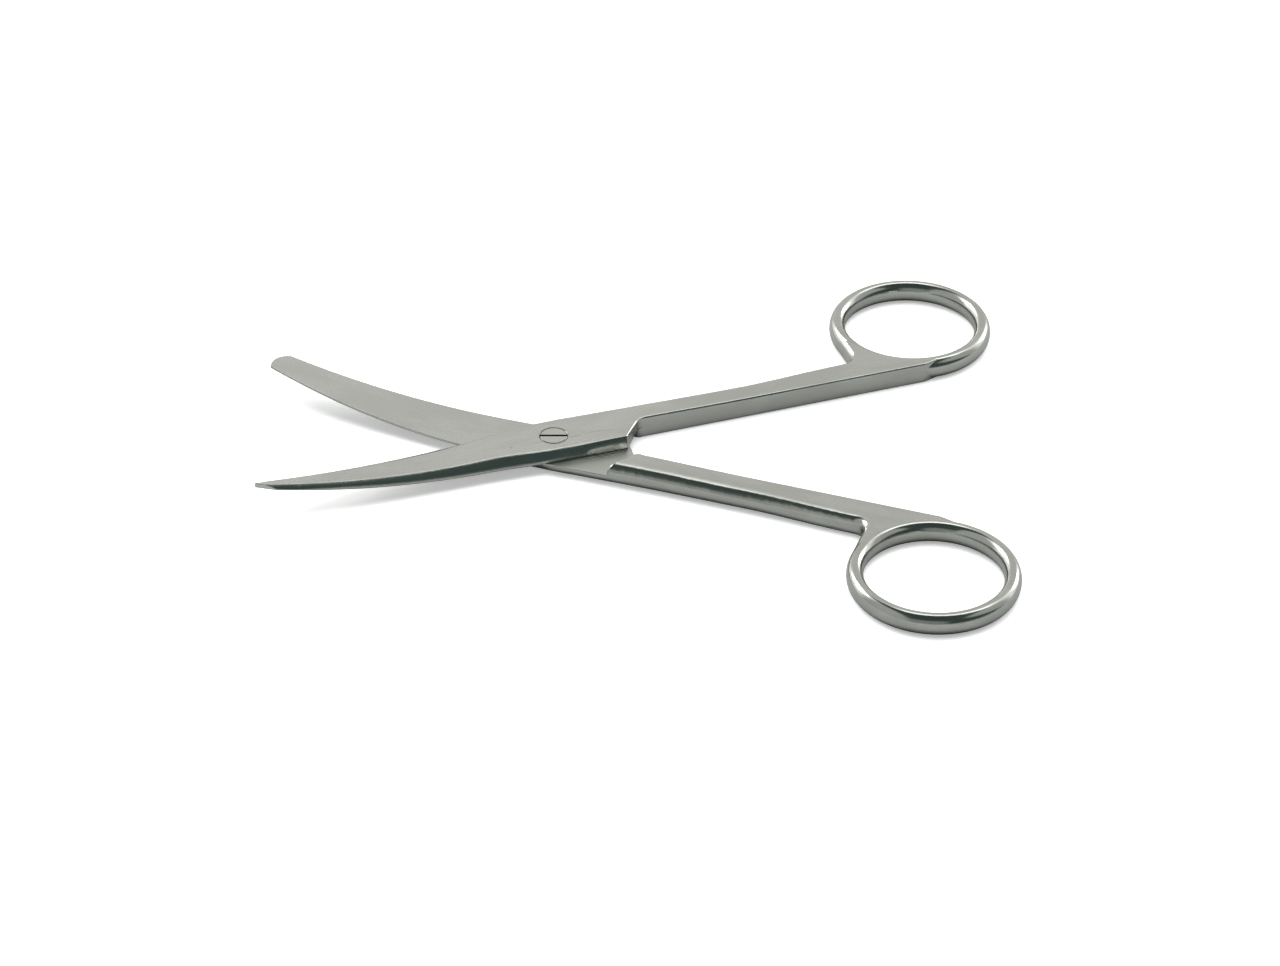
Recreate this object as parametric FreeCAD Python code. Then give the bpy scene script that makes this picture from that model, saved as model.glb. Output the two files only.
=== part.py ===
import FreeCAD, Part
import math
import os

# Dissecting scissors with curved blades, one sharp and one blunt. Millimetres.
# Each half is drawn closed. u runs along the closing line, from the pivot to
# the finger ring, so the blade points to -u. v runs out to the ring's side and
# z up from the table. At rest each half is turned by half the opening angle.

opening_angle = 38.9

# Joint
joint_thickness = 4.3
lap_gap = 0.06
lap_spine_width = 5.25
lap_outer_width = 6.0
lap_spine_bevel = 0.85
shoulder_distance = 16.1
shoulder_slant = 34.5
shoulder_round = 3.0
notch_round = 2.5
seat_clearance = 0.2

# Shank and finger ring
shank_gap = 0.4
shank_width_joint = 5.6
shank_width_middle = 5.5
shank_width_ring = 6.0
shank_round = 1.9
inner_edge_round = 0.35
ring_distance = 75.1
ring_diameter = 30.1
ring_flat = 0.1
ring_wall = 3.0
ring_height = 4.05
ring_rise = 0.02
crotch_round = 2.3
web_round = 1.4
web_inset = 0.2
web_fade = 13.0

# Blades
blade_length = 55.4
blade_curve_start = 14.2
blade_curve_radius = 178.0
spine_tip_height = 0.9
spine_bevel_root = 11.0
edge_bevel_root = 20.0
spine_bevel_width = 1.2
spine_bevel_tip = 0.4
spine_bevel_foot = 0.2
edge_land = 0.4
edge_bevel_width = 1.2
edge_bevel_height = 0.55
face_crown = 0.1
bevel_bulge = 0.05
sharp_spine_root = 4.55
sharp_spine_tip = 2.85
sharp_spine_bow = 0.25
sharp_edge_tip = -1.2
sharp_edge_bow = 0.85
blunt_spine_root = 5.05
blunt_spine_tip = 5.05
blunt_spine_bow = 0.0
blunt_edge_tip = -0.15
blunt_edge_bow = 0.95

# Plan outlines of the two noses: back from the tip, and across the blade's end
# as a share of its width, counted from the spine
sharp_nose = ((7.8, -0.82), (0.28, 0.39), (0.0, 0.545), (0.28, 0.7), (7.8, 2.32))
blunt_nose = ((4.2, -0.09), (1.6, 0.08), (0.7, 0.28), (0.05, 0.79), (0.5, 1.11))

# Pivot screw
head_diameter = 4.9
head_height = 1.1
head_taper = 0.25
neck_diameter = 3.4
thread_diameter = 3.0
screw_clearance = 0.05
head_clearance = 0.1
slot_width = 0.55
slot_depth = 0.6
head_chamfer = 0.1

# Places that follow from the sizes above
mating_height = joint_thickness / 2
shank_inside = shank_gap / 2
slant = math.tan(math.radians(shoulder_slant))
apex = shoulder_distance - seat_clearance
joint_end = apex + slant * shank_inside
notch_tangent = notch_round * math.tan(math.radians(90 - shoulder_slant) / 2)
notch_start = joint_end - notch_tangent * math.sin(math.radians(shoulder_slant))
notch_end = joint_end + notch_tangent
rear_corner = apex - slant * lap_spine_width
ring_radius = ring_diameter / 2
ring_offset = shank_inside + ring_radius - ring_flat
ring_left = ring_distance - ring_radius
crotch_start = ring_left - crotch_round - 0.5
edge_root = 6.0
bury = 1.0
spare = 0.6
curve_end = blade_length + 6.0
far = 40.0
quarter_bulge = 1 - math.sqrt(0.5)

SHARP = (sharp_spine_root, sharp_spine_tip, sharp_spine_bow, sharp_edge_tip, sharp_edge_bow)
BLUNT = (blunt_spine_root, blunt_spine_tip, blunt_spine_bow, blunt_edge_tip, blunt_edge_bow)


def smooth(value, start, end):
    t = min(max((value - start) / (end - start), 0.0), 1.0)
    return t * t * (3 - 2 * t)


def mix(a, b, t):
    return a + (b - a) * t


def bowed(a, b, bow, t):
    return mix(a, b, t) + 4 * bow * t * (1 - t)


# Height of the face on which the blades meet, at a distance from the pivot
def mating_at(r):
    run = max(r - blade_curve_start, 0.0)
    return mating_height + blade_curve_radius - math.sqrt(blade_curve_radius ** 2 - run ** 2)


def spine_at(u, blade):
    root, tip, bow = blade[0:3]
    if u > -blade_curve_start:
        return mix(lap_spine_width, root, smooth(-u, 0, blade_curve_start))
    return bowed(root, tip, bow, (-u - blade_curve_start) / (blade_length - blade_curve_start))


def lap_edge_at(u):
    return mix(lap_outer_width, shank_width_joint, min(max(u / joint_end, 0), 1))


def edge_at(u, blade):
    tip, bow = blade[3:5]
    if u > -edge_root:
        return lap_edge_at(u)
    return bowed(lap_outer_width, tip, bow, (-u - edge_root) / (blade_length - edge_root))


# Inner side near the notch: the slanted rear edge runs into the shank's inside
# through a rounded corner
def inside_at(u):
    run = max(notch_end - u, 0.0)
    return shank_inside - notch_round + math.sqrt(notch_round ** 2 - run ** 2)


# A closed section at u. Each point is v, w and the bulge of the edge that
# leaves it. w is measured from the base height, up or down as outward says.
def section(u, points, base, outward):
    edges = []
    for i, (v, w, bulge) in enumerate(points):
        v2, w2 = points[(i + 1) % len(points)][0:2]
        p = FreeCAD.Vector(u, v, base + outward * w)
        q = FreeCAD.Vector(u, v2, base + outward * w2)
        if bulge < 0.005:
            edges.append(Part.LineSegment(p, q).toShape())
            continue
        run = math.hypot(v2 - v, w2 - w)
        mid_v = (v + v2) / 2 - bulge * (w2 - w) / run
        mid_w = (w + w2) / 2 + bulge * (v2 - v) / run
        mid = FreeCAD.Vector(u, mid_v, base + outward * mid_w)
        edges.append(Part.Arc(p, mid, q).toShape())
    return Part.Wire(edges)


# Section of the lap and blade: spine side, spine bevel, outer face, edge bevel
# and edge land, then the part below the mating face that is cut away later
def blade_section(u, blade, outward):
    half = mating_height
    grind = smooth(-u, 0, spine_bevel_root)
    whet = smooth(-u, 0, edge_bevel_root)
    reach = max(-u - spine_bevel_root, 0) / (blade_length - spine_bevel_root)
    crest = mix(half, spine_tip_height, reach)
    bevel = mix(mix(lap_spine_bevel, spine_bevel_width, grind), spine_bevel_tip, reach)
    land = mix(half - shank_round, edge_land, whet)
    inset = mix(mix(shank_round, edge_bevel_width, whet), spine_bevel_tip, reach)
    shoulder = mix(half, land + edge_bevel_height * crest / half, whet)
    below = smooth(-u, 0, blade_curve_start)
    depth = mix(half, bury, below)
    low_round = mix(shank_round, spine_bevel_tip, below)
    spine = -spine_at(u, blade)
    edge = edge_at(u, blade)
    points = [
        (spine, inner_edge_round - depth, 0),
        (spine, spine_bevel_foot, bevel_bulge),
        (spine + bevel, crest, mix(0, face_crown, whet)),
        (edge - inset, shoulder, mix(quarter_bulge * shank_round, bevel_bulge, whet)),
        (edge, land, 0),
        (edge, low_round - depth, quarter_bulge * low_round),
        (edge - low_round, -depth, 0),
        (spine + inner_edge_round, -depth, quarter_bulge * inner_edge_round),
    ]
    return section(u, points, mating_at(abs(u)), outward)


def shank_section(u, outward):
    t = smooth(u, joint_end, ring_distance / 2)
    top = mix(joint_thickness, ring_height, t)
    out = mix(lap_edge_at(u), shank_width_middle, smooth(u, joint_end, joint_end + 8))
    out = mix(out, shank_width_ring, smooth(u, ring_distance / 2, crotch_start))
    large = mix(shank_round, web_round, smooth(u, ring_distance / 2, crotch_start))
    small = inner_edge_round
    inside = inside_at(u)
    points = [
        (inside, small, 0),
        (inside, top - small, quarter_bulge * small),
        (inside + small, top, 0),
        (out - large, top, quarter_bulge * large),
        (out, top - large, 0),
        (out, large, quarter_bulge * large),
        (out - large, 0, 0),
        (inside + small, 0, quarter_bulge * small),
    ]
    return section(u, points, 0 if outward > 0 else top, outward)


def stations(start, end, count):
    return [mix(start, end, i / count) for i in range(count + 1)]


def loft(sections, ruled=False):
    return Part.makeLoft(sections, True, ruled)


def plate(edges, bottom, top):
    face = Part.Face(Part.Wire(edges))
    face.translate(FreeCAD.Vector(0, 0, bottom))
    return face.extrude(FreeCAD.Vector(0, 0, top - bottom))


def line(a, b):
    return Part.LineSegment(FreeCAD.Vector(a[0], a[1], 0), FreeCAD.Vector(b[0], b[1], 0)).toShape()


def arc(a, b, c):
    return Part.Arc(*[FreeCAD.Vector(p[0], p[1], 0) for p in (a, b, c)]).toShape()


# The finger ring: an upright ellipse turned about the ring's axis, standing a
# little above the web and cut level underneath
def finger_ring():
    centre = FreeCAD.Vector(0, ring_radius - ring_wall / 2, ring_height / 2)
    crown = centre + FreeCAD.Vector(0, 0, ring_height / 2 + ring_rise)
    side = centre + FreeCAD.Vector(0, ring_wall / 2, 0)
    face = Part.Face(Part.Wire(Part.Ellipse(crown, side, centre).toShape()))
    ring = face.revolve(FreeCAD.Vector(0, 0, 0), FreeCAD.Vector(0, 0, 1), 360)
    ring.translate(FreeCAD.Vector(ring_distance, ring_offset, 0))
    return ring.cut(Part.makeBox(far, far, bury, FreeCAD.Vector(ring_left - bury, shank_inside - bury, -bury)))


# The web between shank and ring, its crotch rounded over like the ring
def ring_web():
    middle = ring_radius - ring_wall / 2
    fade = math.sin(math.radians(web_fade)) * middle
    fade_v = ring_offset - math.cos(math.radians(web_fade)) * middle
    left = ring_left + web_inset
    crotch_u = left - crotch_round
    crotch_v = shank_width_ring + crotch_round
    diagonal = crotch_round * math.sqrt(0.5)
    low_left = ring_distance - middle * math.sqrt(0.5), ring_offset - middle * math.sqrt(0.5)
    edges = [
        line((crotch_start, shank_inside), (ring_distance - fade, shank_inside)),
        line((ring_distance - fade, shank_inside), (ring_distance + fade, fade_v)),
        arc((ring_distance + fade, fade_v), low_left, (ring_distance - middle, ring_offset)),
        line((ring_distance - middle, ring_offset), (left, ring_offset)),
        line((left, ring_offset), (left, crotch_v)),
        arc((left, crotch_v), (crotch_u + diagonal, crotch_v - diagonal), (crotch_u, shank_width_ring)),
        line((crotch_u, shank_width_ring), (crotch_start, shank_width_ring)),
        line((crotch_start, shank_width_ring), (crotch_start, shank_inside)),
    ]
    body = plate(edges, 0, ring_height)
    body = body.makeFillet(web_round, rims(body, (left, crotch_v), (crotch_u, shank_width_ring)))
    inner = (crotch_start, shank_inside), (ring_distance - fade, shank_inside), (ring_distance + fade, fade_v)
    return body.makeFillet(inner_edge_round, rims(body, *inner))


# Level edges that have both ends among the given plan points, or start at one
# of them and run straight on
def rims(body, *places):
    found = []
    for edge in body.Edges:
        if edge.BoundBox.ZLength > 0.01:
            continue
        near = 0
        for vertex in edge.Vertexes:
            if any(math.hypot(vertex.X - u, vertex.Y - v) < 0.01 for u, v in places):
                near += 1
        if near == len(edge.Vertexes):
            found.append(edge)
    return found


# Everything on the lap's side of the mating face, inside the shoulder line
def lap_cutter(outward):
    base = mating_height + outward * lap_gap / 2
    end = FreeCAD.Vector(curve_end, 0, mating_at(curve_end) + outward * lap_gap / 2)
    bend = FreeCAD.Vector(blade_curve_start, 0, base)
    halfway = (curve_end + blade_curve_start) / 2
    middle = FreeCAD.Vector(halfway, 0, mating_at(halfway) + outward * lap_gap / 2)
    low = -outward * far
    corners = [FreeCAD.Vector(curve_end, 0, low), FreeCAD.Vector(0, 0, low), FreeCAD.Vector(0, 0, base)]
    profile = [
        Part.LineSegment(corners[2], bend).toShape(),
        Part.Arc(bend, middle, end).toShape(),
        Part.LineSegment(end, corners[0]).toShape(),
        Part.LineSegment(corners[0], corners[1]).toShape(),
        Part.LineSegment(corners[1], corners[2]).toShape(),
    ]
    face = Part.Face(Part.Wire(profile))
    turned = face.revolve(FreeCAD.Vector(0, 0, 0), FreeCAD.Vector(0, 0, 1), 360)
    reach = 2 * shank_width_joint
    half_turn = math.radians(90 - shoulder_slant) / 2
    tangent = shoulder_round * math.tan(half_turn)
    corner = shoulder_distance - slant * shank_inside
    away = (math.sin(math.radians(shoulder_slant)), math.cos(math.radians(shoulder_slant)))
    on_shoulder = (corner - tangent * away[0], shank_inside + tangent * away[1])
    to_middle = shoulder_round / math.cos(half_turn) - shoulder_round
    middle_angle = math.radians(shoulder_slant) / 2 + math.radians(45)
    rounded = (corner + to_middle * math.sin(middle_angle), shank_inside + to_middle * math.cos(middle_angle))
    plan = [
        line((corner + tangent, -far), (corner + tangent, shank_inside)),
        arc((corner + tangent, shank_inside), rounded, on_shoulder),
        line(on_shoulder, (shoulder_distance - slant * reach, reach)),
        line((shoulder_distance - slant * reach, reach), (-2 * far, reach)),
        line((-2 * far, reach), (-2 * far, -far)),
        line((-2 * far, -far), (corner + tangent, -far)),
    ]
    return turned.common(plate(plan, -far, far))


# What the nose leaves away. The sharp nose has a straight line on both sides of
# a small round, the blunt one a long arc on its end and one up its spine
def nose_cutter(nose, blade):
    spine = -blade[1]
    edge = blade[3]
    points = [(back - blade_length, mix(spine, edge, across)) for back, across in nose]
    if nose is sharp_nose:
        edges = [line(*points[0:2]), arc(*points[1:4]), line(*points[3:5])]
    else:
        edges = [arc(*points[0:3]), arc(*points[2:5])]
    left = -blade_length - bury
    around = [points[4], (points[4][0], far), (left, far), (left, -far), (points[0][0], -far), points[0]]
    edges += [line(a, b) for a, b in zip(around, around[1:])]
    return plate(edges, -far, far)


# One half, closed and lying flat: blade, lap with its slanted rear edge, shank,
# web and ring, then the far side of the mating face and the shoulder cut away
def half(blade, nose, outward):
    places = stations(head_diameter, -blade_length - spare, 15)
    body = loft([blade_section(u, blade, outward) for u in places])
    body = body.cut(nose_cutter(nose, blade))
    lap_places = rear_corner, head_diameter
    lap_sections = [shank_section(notch_start, outward)]
    lap_sections += [blade_section(u, blade, outward) for u in lap_places]
    notch = loft([shank_section(u, outward) for u in stations(notch_start, notch_end, 5)])
    shank = loft([shank_section(u, outward) for u in stations(notch_end, crotch_start, 8)])
    body = body.fuse([loft(lap_sections, True), notch, shank, ring_web(), finger_ring()])
    return body.cut(lap_cutter(outward))


def cylinder(radius, bottom, top):
    return Part.makeCylinder(radius, top - bottom, FreeCAD.Vector(0, 0, bottom))


def pivot_screw():
    head = head_diameter / 2
    neck = neck_diameter / 2
    thread = thread_diameter / 2
    seat = joint_thickness - head_height
    base = mating_height - lap_gap / 2
    points = [
        (0, 0), (thread, 0), (thread, base), (neck, base), (neck, seat),
        (head - head_taper, seat), (head, joint_thickness - head_chamfer),
        (head - head_chamfer, joint_thickness), (0, joint_thickness),
    ]
    wire = Part.makePolygon([FreeCAD.Vector(r, 0, z) for r, z in points + points[:1]])
    screw = Part.Face(wire).revolve(FreeCAD.Vector(0, 0, 0), FreeCAD.Vector(0, 0, 1), 360)
    slot_start = FreeCAD.Vector(-head_diameter, -slot_width / 2, joint_thickness - slot_depth)
    return screw.cut(Part.makeBox(2 * head_diameter, slot_width, 2 * slot_depth, slot_start))


# The bore and head seat that turn on the screw
def screw_bore():
    head = head_diameter / 2 + head_clearance
    seat = joint_thickness - head_height - screw_clearance
    neck = cylinder(neck_diameter / 2 + screw_clearance, 0, joint_thickness)
    cone = Part.makeCone(head - head_taper, head, head_height + screw_clearance, FreeCAD.Vector(0, 0, seat))
    return neck.fuse([cone, cylinder(head, joint_thickness - 0.001, joint_thickness + 1)])


def turned(shape, angle):
    shape.rotate(FreeCAD.Vector(0, 0, 0), FreeCAD.Vector(0, 0, 1), angle)
    return shape


def save(name, shape):
    solids = shape.Solids
    print(name, len(solids), shape.isValid(), round(shape.Volume, 2), len(shape.Faces))
    solids[0].exportStep("parts/" + name + ".step")


def main():
    os.makedirs("parts", exist_ok=True)
    upper = half(SHARP, sharp_nose, 1).cut(screw_bore())
    lower = half(BLUNT, blunt_nose, -1).cut(cylinder(thread_diameter / 2, -1, joint_thickness))
    lower = lower.mirror(FreeCAD.Vector(0, 0, 0), FreeCAD.Vector(0, 1, 0))
    save("upper_half", turned(upper, opening_angle / 2))
    save("lower_half", turned(lower, -opening_angle / 2))
    save("pivot_screw", pivot_screw())


if __name__ == "__main__":
    main()
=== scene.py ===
import math

import bpy
from mathutils import Matrix, Vector

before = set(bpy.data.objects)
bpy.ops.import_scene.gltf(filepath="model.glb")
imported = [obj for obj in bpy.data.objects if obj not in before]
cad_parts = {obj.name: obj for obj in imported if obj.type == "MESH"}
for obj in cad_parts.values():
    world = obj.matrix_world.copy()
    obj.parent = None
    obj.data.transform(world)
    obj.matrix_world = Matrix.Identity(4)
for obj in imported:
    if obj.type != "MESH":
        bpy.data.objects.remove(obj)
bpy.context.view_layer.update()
mm = 0.001
print("frame loaded")

cameraPlace = {
    "aim": (15.46, -8.64, 0.0),     # point on the table in the picture's middle, mm
    "distance": 709.8,              # from that point to the lens, mm
    "azimuth": 0.062,
    "elevation": 34.735,
    "roll": 0.125,
    "lens": 112.46,
    "sensor": 36.0,
}


def makeCamera(place):
    azimuth = math.radians(place["azimuth"])
    elevation = math.radians(place["elevation"])
    back = Vector((
        math.sin(azimuth) * math.cos(elevation),
        -math.cos(azimuth) * math.cos(elevation),
        math.sin(elevation),
    ))
    data = bpy.data.cameras.new("camera")
    data.sensor_width = place["sensor"]
    data.lens = place["lens"]
    data.clip_start = 0.01
    data.clip_end = 50
    camera = bpy.data.objects.new("camera", data)
    bpy.context.scene.collection.objects.link(camera)
    camera.rotation_mode = "QUATERNION"
    camera.location = Vector(place["aim"]) * mm + back * place["distance"] * mm
    facing = (-back).to_track_quat("-Z", "Y").to_matrix()
    level = Matrix.Rotation(math.radians(place["roll"]), 3, "Z")
    camera.rotation_quaternion = (facing @ level).to_quaternion()
    bpy.context.scene.camera = camera


makeCamera(cameraPlace)
print("camera placed")


# A node with its settings; an input is either a plain value or a socket to link
def addNode(tree, kind, inputs={}, **settings):
    node = tree.nodes.new("ShaderNode" + kind)
    for name, value in settings.items():
        setattr(node, name, value)
    for name, value in inputs.items():
        if isinstance(value, bpy.types.NodeSocket):
            tree.links.new(value, node.inputs[name])
        else:
            node.inputs[name].default_value = value
    return node


def calc(tree, operation, a, b=0.0, c=0.0):
    return addNode(tree, "Math", {0: a, 1: b, 2: c}, operation=operation).outputs[0]


def vectorCalc(tree, operation, a, b=(0, 0, 0)):
    return addNode(tree, "VectorMath", {0: a, 1: b}, operation=operation).outputs


def ramp(tree, value, low, high, start=0.0, end=1.0):
    inputs = {"Value": value, "From Min": low, "From Max": high, "To Min": start, "To Max": end}
    return addNode(tree, "MapRange", inputs, interpolation_type="SMOOTHSTEP").outputs[0]


def blend(tree, share, a, b):
    return addNode(tree, "Mix", {0: share, 6: a, 7: b}, data_type="RGBA").outputs[2]


def startGroup(name, inputs, outputs):
    tree = bpy.data.node_groups.new(name, "ShaderNodeTree")
    for label, kind in inputs.items():
        tree.interface.new_socket(label, in_out="INPUT", socket_type="NodeSocket" + kind)
    for label, kind in outputs.items():
        tree.interface.new_socket(label, in_out="OUTPUT", socket_type="NodeSocket" + kind)
    given = tree.nodes.new("NodeGroupInput").outputs
    result = tree.nodes.new("NodeGroupOutput").inputs
    return tree, given, result


# Place on the half in mm: x from the screw to the ring, y across, z up
def makeOwnFrame():
    tree, given, result = startGroup("ownFrame", {"Turn": "Float"}, {"Place": "Vector"})
    place = tree.nodes.new("ShaderNodeTexCoord").outputs["Object"]
    turned = addNode(tree, "VectorRotate", {"Vector": place, "Angle": given["Turn"]}, rotation_type="Z_AXIS")
    scaled = vectorCalc(tree, "MULTIPLY", turned.outputs[0], (1000, 1000, 1000))[0]
    tree.links.new(scaled, result["Place"])
    return tree


# Fine lines left by the polishing belt
def makeBeltLines():
    inputs = {"Place": "Vector", "Length": "Float", "Width": "Float"}
    tree, given, result = startGroup("beltLines", inputs, {"Lines": "Float"})
    size = addNode(tree, "CombineXYZ", {"X": given["Length"], "Y": given["Width"], "Z": given["Width"]})
    spot = vectorCalc(tree, "DIVIDE", given["Place"], size.outputs[0])[0]
    noise = addNode(tree, "TexNoise", {"Vector": spot, "Scale": 1.0, "Detail": 3.0, "Roughness": 0.65})
    tree.links.new(ramp(tree, noise.outputs[0], 0.3, 0.7), result["Lines"])
    return tree


# Cloudy patches from handling and cleaning
def makeClouds():
    inputs = {"Place": "Vector", "Size": "Float", "Low": "Float", "High": "Float"}
    tree, given, result = startGroup("clouds", inputs, {"Amount": "Float"})
    scale = calc(tree, "DIVIDE", 1.0, given["Size"])
    inputs = {"Vector": given["Place"], "Scale": scale, "Detail": 5.0, "Roughness": 0.6, "Distortion": 0.4}
    noise = addNode(tree, "TexNoise", inputs)
    tree.links.new(ramp(tree, noise.outputs[0], given["Low"], given["High"]), result["Amount"])
    return tree


# Edges eased by polishing: a rounded normal, and a mask of where it differs
def makeEasedEdges():
    tree, given, result = startGroup("easedEdges", {"Radius": "Float"}, {"Normal": "Vector", "Edge": "Float"})
    bevel = addNode(tree, "Bevel", {"Radius": calc(tree, "MULTIPLY", given["Radius"], mm)}, samples=8)
    normal = tree.nodes.new("ShaderNodeNewGeometry").outputs["Normal"]
    turned = vectorCalc(tree, "DOT_PRODUCT", bevel.outputs[0], normal)["Value"]
    tree.links.new(bevel.outputs[0], result["Normal"])
    tree.links.new(ramp(tree, turned, 0.995, 0.9), result["Edge"])    # from 6 to 26 degrees apart
    return tree


# A single line mark between two places: a scratch, or a line of painted shade
def makeScratch():
    inputs = {"Place": "Vector", "From": "Vector", "To": "Vector", "Width": "Float"}
    tree, given, result = startGroup("scratch", inputs, {"Mark": "Float"})
    run = vectorCalc(tree, "SUBTRACT", given["To"], given["From"])[0]
    away = vectorCalc(tree, "SUBTRACT", given["Place"], given["From"])[0]
    along = vectorCalc(tree, "DOT_PRODUCT", away, run)["Value"]
    whole = vectorCalc(tree, "DOT_PRODUCT", run, run)["Value"]
    share = calc(tree, "DIVIDE", along, whole)
    held = addNode(tree, "Clamp", {"Value": share}).outputs[0]
    nearest = addNode(tree, "VectorMath", {0: run, "Scale": held}, operation="SCALE").outputs[0]
    distance = vectorCalc(tree, "DISTANCE", away, nearest)["Value"]
    tree.links.new(ramp(tree, distance, given["Width"], 0.0), result["Mark"])
    return tree


# 1 inside a round spot on the plan, fading over its border
def makeRoundSpot():
    inputs = {"Place": "Vector", "Centre": "Vector", "Radius": "Float", "Border": "Float"}
    tree, given, result = startGroup("roundSpot", inputs, {"Inside": "Float"})
    away = vectorCalc(tree, "SUBTRACT", given["Place"], given["Centre"])[0]
    level = vectorCalc(tree, "MULTIPLY", away, (1, 1, 0))[0]
    distance = vectorCalc(tree, "LENGTH", level)["Value"]
    outer = calc(tree, "ADD", given["Radius"], given["Border"])
    tree.links.new(ramp(tree, distance, outer, given["Radius"]), result["Inside"])
    return tree


# The exact normal of the ring, an upright ellipse turned about the ring's axis,
# and a mask of where the surface is that ring
def makeRingNormal():
    inputs = {
        "Place": "Vector", "Centre": "Vector", "Turn": "Float",
        "Middle": "Float", "Half Width": "Float", "Half Height": "Float",
    }
    tree, given, result = startGroup("ringNormal", inputs, {"Normal": "Vector", "Share": "Float"})
    away = vectorCalc(tree, "SUBTRACT", given["Place"], given["Centre"])[0]
    level = vectorCalc(tree, "MULTIPLY", away, (1, 1, 0))[0]
    outward = vectorCalc(tree, "NORMALIZE", level)[0]
    across = calc(tree, "SUBTRACT", vectorCalc(tree, "LENGTH", level)["Value"], given["Middle"])
    across = calc(tree, "DIVIDE", across, given["Half Width"])
    up = addNode(tree, "SeparateXYZ", {0: away}).outputs["Z"]
    up = calc(tree, "DIVIDE", up, given["Half Height"])
    onRing = calc(tree, "ADD", calc(tree, "MULTIPLY", across, across), calc(tree, "MULTIPLY", up, up))
    side = calc(tree, "DIVIDE", across, given["Half Width"])
    side = addNode(tree, "VectorMath", {0: outward, "Scale": side}, operation="SCALE").outputs[0]
    rise = calc(tree, "DIVIDE", up, given["Half Height"])
    rise = addNode(tree, "CombineXYZ", {"Z": rise}).outputs[0]
    own = vectorCalc(tree, "NORMALIZE", vectorCalc(tree, "ADD", side, rise)[0])[0]
    inputs = {"Vector": own, "Angle": given["Turn"]}
    turned = addNode(tree, "VectorRotate", inputs, rotation_type="Z_AXIS").outputs[0]
    kinds = {"vector_type": "NORMAL", "convert_from": "OBJECT", "convert_to": "WORLD"}
    normal = addNode(tree, "VectorTransform", {0: turned}, **kinds).outputs[0]
    surface = tree.nodes.new("ShaderNodeNewGeometry").outputs["Normal"]
    agreed = vectorCalc(tree, "DOT_PRODUCT", normal, surface)["Value"]
    off = calc(tree, "ABSOLUTE", calc(tree, "SUBTRACT", onRing, 1.0))
    near = ramp(tree, off, 0.09, 0.06)                   # share of the ellipse's size
    facing = ramp(tree, agreed, 0.95, 0.97)              # from 18 to 14 degrees apart
    tree.links.new(normal, result["Normal"])
    tree.links.new(calc(tree, "MULTIPLY", near, facing), result["Share"])
    return tree


groups = {
    "ownFrame": makeOwnFrame(),
    "beltLines": makeBeltLines(),
    "clouds": makeClouds(),
    "easedEdges": makeEasedEdges(),
    "scratch": makeScratch(),
    "roundSpot": makeRoundSpot(),
    "ringNormal": makeRingNormal(),
}
print("effects ready:", len(groups))


def effect(tree, name, **inputs):
    node = tree.nodes.new("ShaderNodeGroup")
    node.node_tree = groups[name]
    for label, value in inputs.items():
        if isinstance(value, bpy.types.NodeSocket):
            tree.links.new(value, node.inputs[label])
        else:
            node.inputs[label].default_value = value
    return node.outputs


upperHalf = {
    "node": "upper_half",
    "turn": 19.45,                        # how far the half is opened at rest, degrees
    "colour": (0.60, 0.605, 0.575, 1),
    "cloudColour": (0.50, 0.505, 0.475, 1),
    "cloudSize": 6.0,
    "darkening": (5, 45),                    # from here to here, towards the ring, it turns darker, mm
    "satin": 0.27,                        # roughness of the flats
    "polish": 0.16,                       # roughness of ring, bevels and rounded edges
    "ringCentre": (75.1, 15.15, 2.025),
    "ringMiddle": 13.55,                  # radius of its crown
    "ringHalfSize": (1.5, 2.045),         # half its width and height
    "lineLength": 14.0,
    "lineWidth": 0.22,
    "lineHeight": 0.0014,                 # mm
    "edgeRadius": 0.3,                    # mm
    "spineRadius": 0.85,                  # the blade's spine is eased more than the rest
    "seam": 2.56,                         # radius of the screw's seat, inside which painted shade darkens the gap round the head
    # colour of grime on the marks and of the painted shade in the screw's seat
    "grimeAndShade": (0.20, 0.20, 0.17, 1),
    "scratchesAndShadeLines": [                        # from, to and width, mm
        ((-7.4, -0.65, 4.3), (-2.4, -1.15, 4.3), 0.16),
        ((2.7, -1.45, 4.3), (4.5, -1.4, 4.3), 0.24),
        ((6.5, -1.15, 4.3), (10.4, -1.75, 4.3), 0.16),
        ((-8.4, -1.1, 4.2), (-8.2, -0.9, 4.2), 0.4),
    ],
}

lowerHalf = {
    "node": "lower_half",
    "turn": -19.45,
    "colour": (0.59, 0.595, 0.57, 1),
    "cloudColour": (0.49, 0.495, 0.465, 1),
    "cloudSize": 5.5,
    "darkening": (0, 35),
    "satin": 0.28,
    "polish": 0.16,
    "ringCentre": (75.1, -15.15, 2.025),
    "ringMiddle": 13.55,
    "ringHalfSize": (1.5, 2.045),
    "lineLength": 13.0,
    "lineWidth": 0.2,
    "lineHeight": 0.0014,
    "edgeRadius": 0.3,
    "spineRadius": 0.3,
    # radius of the screw's seat, inside which painted shade darkens it
    "seam": 1.6,
    # colour of grime on the marks and of the painted shade in the screw's seat
    "grimeAndShade": (0.22, 0.22, 0.19, 1),
    "scratchesAndShadeLines": [
        # painted shade along the crease at the shoulder's base, not a scratch
        ((12.0, -3.6, 2.1), (13.6, -2.6, 2.1), 0.3),
        ((-22.0, 1.2, 2.2), (-33.0, 0.2, 2.9), 0.12),
    ],
}


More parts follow.
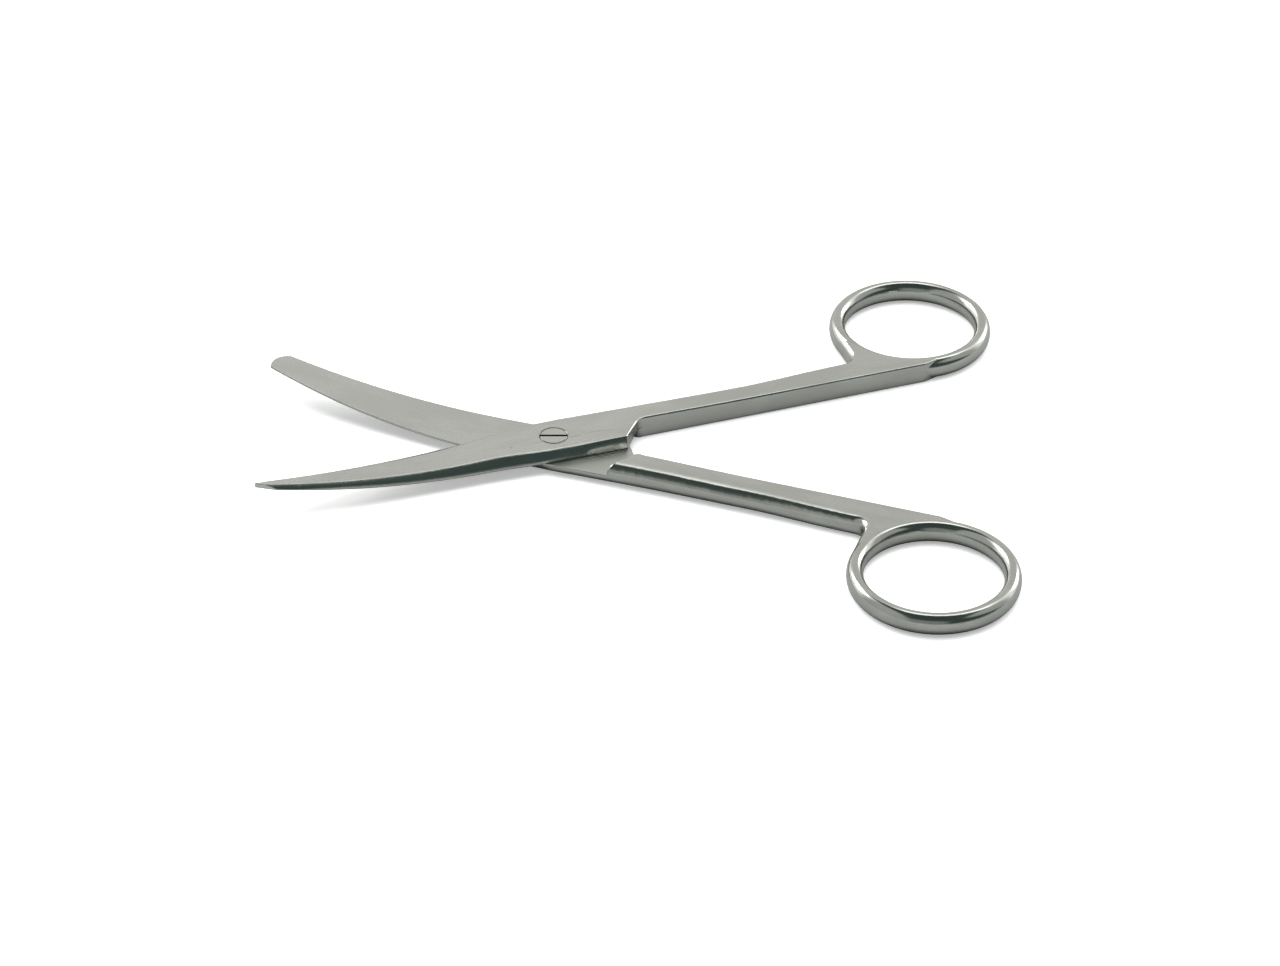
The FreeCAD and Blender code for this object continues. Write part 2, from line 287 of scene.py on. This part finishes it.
# What the steel of both halves has in common
finish = {
    "spineTip": (-50.0, -38.0),           # where the spine's own radius holds, along the half
    "spineEnd": (8.0, 3.0),
    "spineSide": (-0.8, -1.6),            # and across it, mm
    "cloudStretch": (0.4, 1, 1),
    "cloudRange": (0.38, 0.62),
    "cloudShade": 0.6,
    "darkeningShade": 0.5,
    "markShade": 0.5,
    # how far painted shade darkens the screw's seat
    "seamShade": 0.8,
    "seamBorder": 0.2,
    "level": (0.965, 0.93),               # a face's upright part, from satin to polished
    "linesGone": 0.7,                     # how far polishing takes away the belt lines
    "lineRoughness": 0.08,
    "cloudRoughness": 0.05,
    "polishRoughness": 0.04,
    "edgeRoughness": -0.05,
    "markRoughness": 0.15,
    "markHeight": -1.5,
}


# How large the radius of the eased edges is, wider along the spine
def easedRadius(tree, parts, look):
    spine = calc(
        tree, "MULTIPLY",
        ramp(tree, parts["X"], *finish["spineTip"]), ramp(tree, parts["X"], *finish["spineEnd"]),
    )
    spine = calc(tree, "MULTIPLY", spine, ramp(tree, parts["Y"], *finish["spineSide"]))
    return calc(tree, "MULTIPLY_ADD", spine, look["spineRadius"] - look["edgeRadius"], look["edgeRadius"])


# Darkened lines: scratches, and lines of painted shade in creases
def allScratchAndShadeLines(tree, place, scratchesAndShadeLines):
    marks = 0.0
    for start, end, width in scratchesAndShadeLines:
        mark = effect(tree, "scratch", Place=place, From=start, To=end, Width=width)["Mark"]
        marks = calc(tree, "MAXIMUM", marks, mark)
    return marks


def steelMaterial(name, look):
    material = bpy.data.materials.new(name)
    material.use_nodes = True
    tree = material.node_tree
    shader = tree.nodes["Principled BSDF"]
    shader.inputs["Metallic"].default_value = 1.0
    place = effect(tree, "ownFrame", Turn=math.radians(-look["turn"]))["Place"]
    parts = addNode(tree, "SeparateXYZ", {0: place}).outputs
    length, width = look["lineLength"], look["lineWidth"]
    lines = effect(tree, "beltLines", Place=place, Length=length, Width=width)["Lines"]
    drawnOut = vectorCalc(tree, "MULTIPLY", place, finish["cloudStretch"])[0]
    low, high = finish["cloudRange"]
    clouds = effect(tree, "clouds", Place=drawnOut, Size=look["cloudSize"], Low=low, High=high)["Amount"]
    edges = effect(tree, "easedEdges", Radius=easedRadius(tree, parts, look))
    halfWidth, halfHeight = look["ringHalfSize"]
    ring = effect(
        tree, "ringNormal", Place=place, Centre=look["ringCentre"], Turn=math.radians(look["turn"]),
        Middle=look["ringMiddle"], **{"Half Width": halfWidth, "Half Height": halfHeight},
    )
    normal = blend(tree, ring["Share"], edges["Normal"], ring["Normal"])
    upright = tree.nodes.new("ShaderNodeNewGeometry").outputs["Normal"]
    upright = calc(tree, "ABSOLUTE", addNode(tree, "SeparateXYZ", {0: upright}).outputs["Z"])
    buffed = calc(tree, "MAXIMUM", ramp(tree, upright, *finish["level"]), ring["Share"])
    marks = allScratchAndShadeLines(tree, place, look["scratchesAndShadeLines"])

    # Painted shade in the screw's seat, added to the darkened marks
    inputs = {"Place": place, "Centre": (0, 0, 0), "Radius": look["seam"], "Border": finish["seamBorder"]}
    seatShade = effect(tree, "roundSpot", **inputs)["Inside"]
    seatShade = calc(tree, "MULTIPLY", seatShade, finish["seamShade"])
    marksAndShade = calc(tree, "MAXIMUM", calc(tree, "MULTIPLY", marks, finish["markShade"]), seatShade)
    # Colour darker towards the ring, together with the cloudy patches
    darkening = ramp(tree, parts["X"], *look["darkening"])
    cloudy = calc(tree, "MULTIPLY", clouds, finish["cloudShade"])
    darkening = calc(tree, "MULTIPLY_ADD", darkening, finish["darkeningShade"], cloudy)
    colour = blend(tree, darkening, look["colour"], look["cloudColour"])
    tree.links.new(blend(tree, marksAndShade, colour, look["grimeAndShade"]), shader.inputs["Base Color"])

    middle = look["satin"] - finish["lineRoughness"] / 2
    satin = calc(tree, "MULTIPLY_ADD", lines, finish["lineRoughness"], middle)
    satin = calc(tree, "MULTIPLY_ADD", clouds, finish["cloudRoughness"], satin)
    polished = calc(tree, "MULTIPLY_ADD", clouds, finish["polishRoughness"], look["polish"])
    rough = addNode(tree, "Mix", {0: buffed, 2: satin, 3: polished}).outputs[0]
    rough = calc(tree, "MULTIPLY_ADD", edges["Edge"], finish["edgeRoughness"], rough)
    rough = calc(tree, "MULTIPLY_ADD", marks, finish["markRoughness"], rough)
    tree.links.new(rough, shader.inputs["Roughness"])

    flat = calc(tree, "SUBTRACT", 1.0, calc(tree, "MULTIPLY", buffed, finish["linesGone"]))
    height = calc(tree, "MULTIPLY", lines, flat)
    height = calc(tree, "MULTIPLY_ADD", marks, finish["markHeight"], height)
    inputs = {"Height": height, "Strength": 1.0, "Distance": look["lineHeight"] * mm, "Normal": normal}
    tree.links.new(addNode(tree, "Bump", inputs).outputs[0], shader.inputs["Normal"])
    return material


def dress(look, material):
    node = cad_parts[look["node"]]
    node.data.materials.clear()
    node.data.materials.append(material)


dress(upperHalf, steelMaterial("upperSteel", upperHalf))
dress(lowerHalf, steelMaterial("lowerSteel", lowerHalf))
print("halves dressed")

pivotScrew = {
    "node": "pivot_screw",
    "colour": (0.60, 0.60, 0.565, 1),
    "wornColour": (0.5, 0.5, 0.46, 1),
    "wornShade": 0.25,
    # colour of the painted shade deep in the slot and in the seam round the head
    "slotAndRimShade": (0.10, 0.10, 0.085, 1),
    "slotTop": (4.22, 3.97),              # heights between which painted shade darkens the slot, mm
    "rim": 2.26,                          # radius where the painted shade of the seam starts
    "rimBorder": 0.12,
    "rimShade": 0.6,
    "roughness": 0.27,
    "cloudSize": 1.6,
    "cloudRange": (0.4, 0.6),
    "cloudRoughness": 0.06,
    "circles": 9.0,                       # turning marks, about this many to a mm
    "circleHeight": 0.004,
    "edgeRadius": 0.06,
}


def screwMaterial(look):
    material = bpy.data.materials.new("screwSteel")
    material.use_nodes = True
    tree = material.node_tree
    shader = tree.nodes["Principled BSDF"]
    shader.inputs["Metallic"].default_value = 1.0
    place = effect(tree, "ownFrame", Turn=0.0)["Place"]
    away = vectorCalc(tree, "LENGTH", vectorCalc(tree, "MULTIPLY", place, (1, 1, 0))[0])["Value"]
    inputs = {"W": away, "Scale": look["circles"], "Detail": 2.0}
    circles = addNode(tree, "TexNoise", inputs, noise_dimensions="1D").outputs[0]
    low, high = look["cloudRange"]
    clouds = effect(tree, "clouds", Place=place, Size=look["cloudSize"], Low=low, High=high)["Amount"]
    edges = effect(tree, "easedEdges", Radius=look["edgeRadius"])

    # Painted shade: darker deep in the slot and in the seam round the head
    deep = ramp(tree, addNode(tree, "SeparateXYZ", {0: place}).outputs["Z"], *look["slotTop"])
    inputs = {"Place": place, "Centre": (0, 0, 0), "Radius": look["rim"], "Border": look["rimBorder"]}
    seam = calc(tree, "SUBTRACT", 1.0, effect(tree, "roundSpot", **inputs)["Inside"])
    paintedShade = calc(tree, "MAXIMUM", deep, calc(tree, "MULTIPLY", seam, look["rimShade"]))
    worn = calc(tree, "MULTIPLY", clouds, look["wornShade"])
    worn = blend(tree, worn, look["colour"], look["wornColour"])
    tree.links.new(blend(tree, paintedShade, worn, look["slotAndRimShade"]), shader.inputs["Base Color"])

    rough = calc(tree, "MULTIPLY_ADD", clouds, look["cloudRoughness"], look["roughness"])
    tree.links.new(rough, shader.inputs["Roughness"])
    distance = look["circleHeight"] * mm
    inputs = {"Height": circles, "Strength": 1.0, "Distance": distance, "Normal": edges["Normal"]}
    tree.links.new(addNode(tree, "Bump", inputs).outputs[0], shader.inputs["Normal"])
    return material


dress(pivotScrew, screwMaterial(pivotScrew))
print("screw dressed")

studio = {
    "floorSize": 8.0,
    "floorColour": (0.94, 0.94, 0.94, 1),
    "floorLift": (0.37, 0.37, 0.37, 1),   # glow of the overexposed table
    "tableShade": (0.40, 0.41, 0.40, 1),  # the table as it shows in the steel
    "front": (0.28, 0.31, 0.30, 1),       # low on the viewer's side
    "overhead": (0.055, 0.075, 0.07, 1),  # dark ceiling
    "corner": (0.05, 0.075, 0.07, 1),     # low in front on the right
    "window": (2.4, 2.44, 2.42, 1),       # high on the far side
    "wall": (0.71, 0.72, 0.69, 1),        # what the level faces reflect
    "sides": (1.25, 1.26, 1.24, 1),
    "frontSides": (0.50, 0.52, 0.50, 1),
    "ceilingFrom": (24, 34),              # degrees up from the viewer's horizon, over the top
    "windowFrom": (96, 103),
    "wallFrom": (113, 121),
    "windowLeft": (-0.26, -0.14),         # where the window ends, across
    "sidesFrom": (0.08, 0.36),            # how far back the sides turn bright
    "cornerFrom": (0.12, 0.34),
    "cornerTop": (46, 34),
    "leftFrom": (0.50, 0.58),
    "rightFrom": (0.50, 0.60),
    "lights": [                           # name, place, size in m, watts, and if the steel shows it
        ("leftBox", (-1.0, 0.75, 0.8), (0.7, 0.6), 9, True),
        ("rightBox", (1.1, 0.9, 0.45), (0.5, 0.5), 5, True),
        ("tableLight", (0.0, 0.2, 1.6), (1.6, 1.2), 22, False),
    ],
}


def makeFloor(look):
    bpy.ops.mesh.primitive_plane_add(size=look["floorSize"])
    floor = bpy.context.object
    floor.name = "floor"
    material = bpy.data.materials.new("floor")
    material.use_nodes = True
    tree = material.node_tree
    shader = tree.nodes["Principled BSDF"]
    seen = tree.nodes.new("ShaderNodeLightPath").outputs["Is Camera Ray"]
    tree.links.new(blend(tree, seen, look["tableShade"], look["floorColour"]), shader.inputs["Base Color"])
    shader.inputs["Roughness"].default_value = 0.9
    shader.inputs["Specular IOR Level"].default_value = 0.1
    tree.links.new(blend(tree, seen, (0, 0, 0, 1), look["floorLift"]), shader.inputs["Emission Color"])
    shader.inputs["Emission Strength"].default_value = 1.0
    floor.data.materials.append(material)


def makeSurroundings(look):
    world = bpy.data.worlds.new("studio")
    bpy.context.scene.world = world
    world.use_nodes = True
    tree = world.node_tree
    direction = tree.nodes.new("ShaderNodeTexCoord").outputs["Generated"]
    parts = addNode(tree, "SeparateXYZ", {0: direction}).outputs
    towards = calc(tree, "MULTIPLY", parts["Y"], -1.0)
    angle = calc(tree, "DEGREES", calc(tree, "ARCTAN2", parts["Z"], towards))
    colour = blend(tree, ramp(tree, angle, *look["ceilingFrom"]), look["front"], look["overhead"])
    window = ramp(tree, angle, *look["windowFrom"])
    window = calc(tree, "MULTIPLY", window, ramp(tree, parts["X"], *look["windowLeft"]))
    colour = blend(tree, window, colour, look["window"])
    colour = blend(tree, ramp(tree, angle, *look["wallFrom"]), colour, look["wall"])
    left = ramp(tree, calc(tree, "MULTIPLY", parts["X"], -1.0), *look["leftFrom"])
    aside = calc(tree, "MAXIMUM", left, ramp(tree, parts["X"], *look["rightFrom"]))
    sides = blend(tree, ramp(tree, parts["Y"], *look["sidesFrom"]), look["frontSides"], look["sides"])
    colour = blend(tree, aside, colour, sides)
    corner = ramp(tree, parts["X"], *look["cornerFrom"])
    corner = calc(tree, "MULTIPLY", corner, ramp(tree, angle, *look["cornerTop"]))
    colour = blend(tree, corner, colour, look["corner"])
    tree.links.new(colour, tree.nodes["Background"].inputs["Color"])


def softbox(name, place, size, power):
    data = bpy.data.lights.new(name, "AREA")
    data.shape = "RECTANGLE"
    data.size, data.size_y = size
    data.energy = power
    light = bpy.data.objects.new(name, data)
    bpy.context.scene.collection.objects.link(light)
    light.location = place
    light.rotation_mode = "QUATERNION"
    light.rotation_quaternion = (-Vector(place)).to_track_quat("-Z", "Y")
    return light


makeFloor(studio)
makeSurroundings(studio)
for name, place, size, power, shows in studio["lights"]:
    softbox(name, place, size, power).visible_glossy = shows
bpy.context.scene.view_settings.view_transform = "Standard"
print("studio lit")
